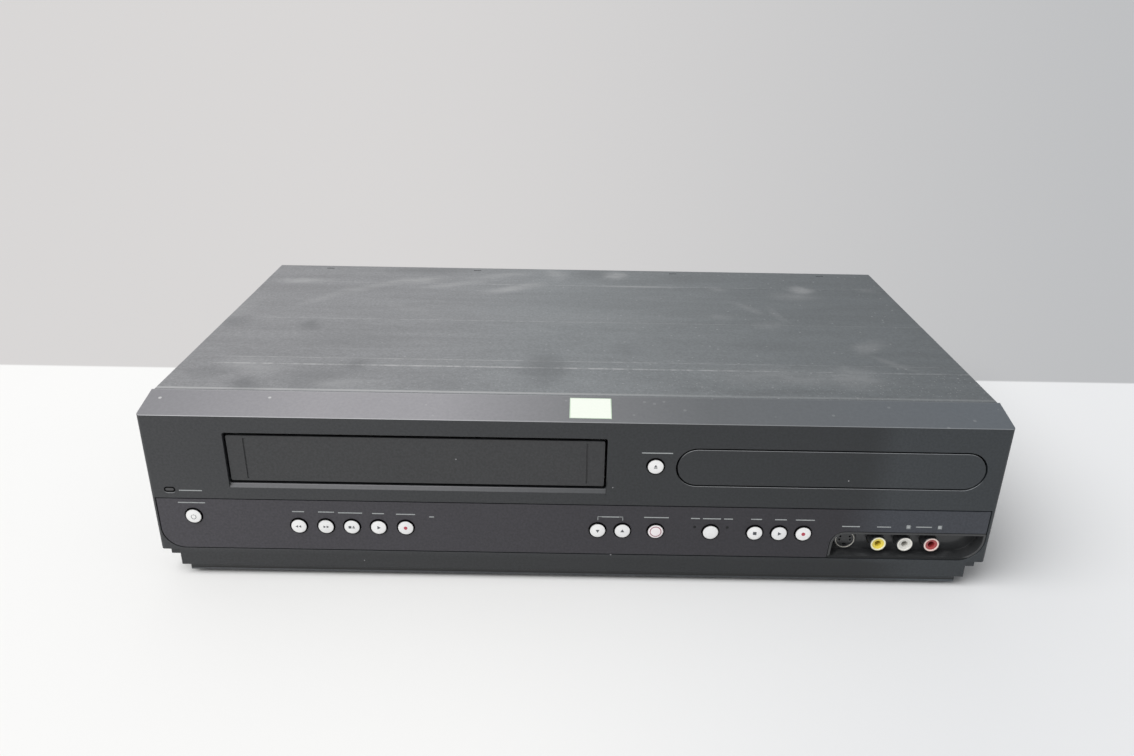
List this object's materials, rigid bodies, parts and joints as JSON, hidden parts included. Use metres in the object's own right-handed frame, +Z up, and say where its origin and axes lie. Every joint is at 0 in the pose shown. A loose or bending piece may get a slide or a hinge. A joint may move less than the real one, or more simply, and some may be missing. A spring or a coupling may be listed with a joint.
{
  "type": "dvd vcr combo player",
  "caption": "Low black cabinet with a hinged cassette door, a sliding disc drawer, a row of push buttons and front and rear sockets.",
  "frame": {"origin": "centre of the footprint, on the surface that the feet stand on", "axes": "+Z up, -Y out of the front, +X to the right seen from the front"},
  "size_m": [0.4362, 0.254, 0.0995],
  "materials": {
    "painted_cover": "semi-matt black paint on folded steel, lightly dusty",
    "plated_steel": "zinc-plated sheet steel",
    "cabinet_plastic": "fine-textured black moulding",
    "panel_plastic": "smooth matt black moulding",
    "door_plastic": "fine-textured black moulding",
    "gloss_black": "polished black moulding",
    "spring_steel": "bright spring and sheet steel",
    "pearl_button": "pearl white painted buttons",
    "pink_button": "clear button with a pink ring",
    "lamp_clear": "clear light pipes",
    "yellow_socket": "yellow moulded socket lining",
    "white_socket": "white moulded socket lining",
    "red_socket": "red moulded socket lining",
    "rubber": "black rubber",
    "black_screw": "blackened pan-head screws",
    "black_moulding": "black engineering plastic",
    "circuit_board": "green soldered circuit board with components",
    "transformer_wrap": "ferrite core with taped winding",
    "aluminium": "plain aluminium",
    "drum_alloy": "diamond-turned drum alloy",
    "polished_steel": "ground and polished steel",
    "white_moulding": "white acetal",
    "grey_moulding": "dark grey moulding",
    "socket_white": "moulded sockets with colour-coded linings",
    "nickel": "nickel-plated can and shells"
  },
  "bodies": {
    "cabinet": {"top_cover": "painted_cover", "chassis_base": "plated_steel", "rear_panel": "plated_steel", "front_bezel": "cabinet_plastic", "control_panel": "panel_plastic", "jack_bay": "gloss_black", "door_spring": "spring_steel", "power_lamp_lens": "gloss_black", "source_lamps": "lamp_clear", "s_video_socket": "gloss_black", "video_socket": "yellow_socket", "audio_left_socket": "white_socket", "audio_right_socket": "red_socket", "feet": "rubber", "case_screws": "black_screw", "cord_gland": "black_moulding", "front_board": "circuit_board", "main_board": "circuit_board", "power_board": "circuit_board", "transformer": "transformer_wrap", "heat_sink": "aluminium", "deck_chassis": "plated_steel", "lower_drum": "drum_alloy", "capstan_motor": "plated_steel", "tape_guides": "polished_steel", "cassette_housing": "plated_steel", "drive_frame": "grey_moulding", "clamp_bridge": "plated_steel", "fan_frame": "black_moulding", "rear_phono_sockets": "socket_white", "tuner": "nickel", "rear_data_sockets": "nickel"},
    "cassette_door": {"cassette_door": "door_plastic"},
    "disc_tray": {"disc_tray": "grey_moulding", "tray_front": "cabinet_plastic"},
    "power_button": {"power_button": "pearl_button"},
    "rewind_button": {"rewind_button": "pearl_button"},
    "forward_button": {"forward_button": "pearl_button"},
    "stop_eject_button": {"stop_eject_button": "pearl_button"},
    "play_button": {"play_button": "pearl_button"},
    "record_button": {"record_button": "pearl_button"},
    "tracking_down_button": {"tracking_down_button": "pearl_button"},
    "tracking_up_button": {"tracking_up_button": "pearl_button"},
    "dubbing_button": {"dubbing_button": "pink_button"},
    "source_button": {"source_button": "pearl_button"},
    "disc_stop_button": {"disc_stop_button": "pearl_button"},
    "disc_play_button": {"disc_play_button": "pearl_button"},
    "disc_record_button": {"disc_record_button": "pearl_button"},
    "open_close_button": {"open_close_button": "pearl_button"},
    "head_drum": {"head_drum": "drum_alloy"},
    "capstan": {"capstan": "polished_steel"},
    "pinch_roller": {"pinch_roller": "rubber"},
    "supply_reel": {"supply_reel": "white_moulding"},
    "takeup_reel": {"takeup_reel": "white_moulding"},
    "cassette_holder": {"cassette_holder": "spring_steel"},
    "tray_gear": {"tray_gear": "white_moulding"},
    "traverse": {"traverse": "grey_moulding"},
    "disc_spindle": {"disc_spindle": "black_moulding"},
    "pickup_sled": {"pickup_sled": "black_moulding"},
    "fan_rotor": {"fan_rotor": "black_moulding"}
  },
  "joints": [
    {"name": "cassette_door_hinge", "type": "hinge", "parent": "cabinet", "child": "cassette_door", "pos_m": [0, -0.1198, 0.089], "axis": [1, 0, 0], "range_deg": [0, 90], "stiffness_Nm_per_rad": 0.004, "springref_deg": -28.65},
    {"name": "tray_slide", "type": "slide", "parent": "cabinet", "child": "disc_tray", "axis": [0, -1, 0], "range_m": [0, 0.14]},
    {"name": "power_press", "type": "slide", "parent": "cabinet", "child": "power_button", "axis": [0, 1, 0], "range_m": [0, 0.001], "stiffness_N_per_m": 600, "springref_m": -0.0005},
    {"name": "rewind_press", "type": "slide", "parent": "cabinet", "child": "rewind_button", "axis": [0, 1, 0], "range_m": [0, 0.001], "stiffness_N_per_m": 600, "springref_m": -0.0005},
    {"name": "forward_press", "type": "slide", "parent": "cabinet", "child": "forward_button", "axis": [0, 1, 0], "range_m": [0, 0.001], "stiffness_N_per_m": 600, "springref_m": -0.0005},
    {"name": "stop_eject_press", "type": "slide", "parent": "cabinet", "child": "stop_eject_button", "axis": [0, 1, 0], "range_m": [0, 0.001], "stiffness_N_per_m": 600, "springref_m": -0.0005},
    {"name": "play_press", "type": "slide", "parent": "cabinet", "child": "play_button", "axis": [0, 1, 0], "range_m": [0, 0.001], "stiffness_N_per_m": 600, "springref_m": -0.0005},
    {"name": "record_press", "type": "slide", "parent": "cabinet", "child": "record_button", "axis": [0, 1, 0], "range_m": [0, 0.001], "stiffness_N_per_m": 600, "springref_m": -0.0005},
    {"name": "tracking_down_press", "type": "slide", "parent": "cabinet", "child": "tracking_down_button", "axis": [0, 1, 0], "range_m": [0, 0.001], "stiffness_N_per_m": 600, "springref_m": -0.0005},
    {"name": "tracking_up_press", "type": "slide", "parent": "cabinet", "child": "tracking_up_button", "axis": [0, 1, 0], "range_m": [0, 0.001], "stiffness_N_per_m": 600, "springref_m": -0.0005},
    {"name": "dubbing_press", "type": "slide", "parent": "cabinet", "child": "dubbing_button", "axis": [0, 1, 0], "range_m": [0, 0.001], "stiffness_N_per_m": 600, "springref_m": -0.0005},
    {"name": "source_press", "type": "slide", "parent": "cabinet", "child": "source_button", "axis": [0, 1, 0], "range_m": [0, 0.001], "stiffness_N_per_m": 600, "springref_m": -0.0005},
    {"name": "disc_stop_press", "type": "slide", "parent": "cabinet", "child": "disc_stop_button", "axis": [0, 1, 0], "range_m": [0, 0.001], "stiffness_N_per_m": 600, "springref_m": -0.0005},
    {"name": "disc_play_press", "type": "slide", "parent": "cabinet", "child": "disc_play_button", "axis": [0, 1, 0], "range_m": [0, 0.001], "stiffness_N_per_m": 600, "springref_m": -0.0005},
    {"name": "disc_record_press", "type": "slide", "parent": "cabinet", "child": "disc_record_button", "axis": [0, 1, 0], "range_m": [0, 0.001], "stiffness_N_per_m": 600, "springref_m": -0.0005},
    {"name": "open_close_press", "type": "slide", "parent": "cabinet", "child": "open_close_button", "axis": [0, 1, 0], "range_m": [0, 0.001], "stiffness_N_per_m": 600, "springref_m": -0.0005},
    {"name": "tray_gear_spin", "type": "hinge", "parent": "cabinet", "child": "tray_gear", "pos_m": [0.0815, -0.08707, 0.06], "axis": [0, 0, 1], "range_deg": [-5, 810]},
    {"name": "head_drum_spin", "type": "hinge", "parent": "cabinet", "child": "head_drum", "pos_m": [-0.08, 0.0378, 0.0285], "axis": [0, -0.1028, 0.9947], "continuous": true},
    {"name": "capstan_spin", "type": "hinge", "parent": "cabinet", "child": "capstan", "pos_m": [-0.025, -0.0082, 0.03], "axis": [0, 0, 1], "continuous": true},
    {"name": "pinch_roller_spin", "type": "hinge", "parent": "cabinet", "child": "pinch_roller", "pos_m": [-0.007, 0.0118, 0.04], "axis": [0, 0, 1], "continuous": true},
    {"name": "supply_reel_spin", "type": "hinge", "parent": "cabinet", "child": "supply_reel", "pos_m": [-0.126, -0.0322, 0.035], "axis": [0, 0, 1], "continuous": true},
    {"name": "takeup_reel_spin", "type": "hinge", "parent": "cabinet", "child": "takeup_reel", "pos_m": [-0.034, -0.0322, 0.035], "axis": [0, 0, 1], "continuous": true},
    {"name": "cassette_holder_slide", "type": "slide", "parent": "cabinet", "child": "cassette_holder", "axis": [0, 1, 0], "range_m": [0, 0.06]},
    {"name": "traverse_lift", "type": "hinge", "parent": "cabinet", "child": "traverse", "pos_m": [0.1295, 0.0258, 0.054], "axis": [-1, 0, 0], "range_deg": [0, 6]},
    {"name": "disc_spin", "type": "hinge", "parent": "traverse", "child": "disc_spindle", "pos_m": [0.1295, -0.04779, 0.04627], "axis": [0, -0.1045, 0.9945], "continuous": true},
    {"name": "pickup_slide", "type": "slide", "parent": "traverse", "child": "pickup_sled", "axis": [0, 0.9945, 0.1045], "range_m": [0, 0.033]},
    {"name": "fan_spin", "type": "hinge", "parent": "cabinet", "child": "fan_rotor", "pos_m": [-0.15, 0.1088, 0.046], "axis": [0, 1, 0], "continuous": true}
  ],
  "couplings": [
    {"joint": "tray_gear_spin", "follows": "tray_slide", "rad_per_m": 100}
  ]
}
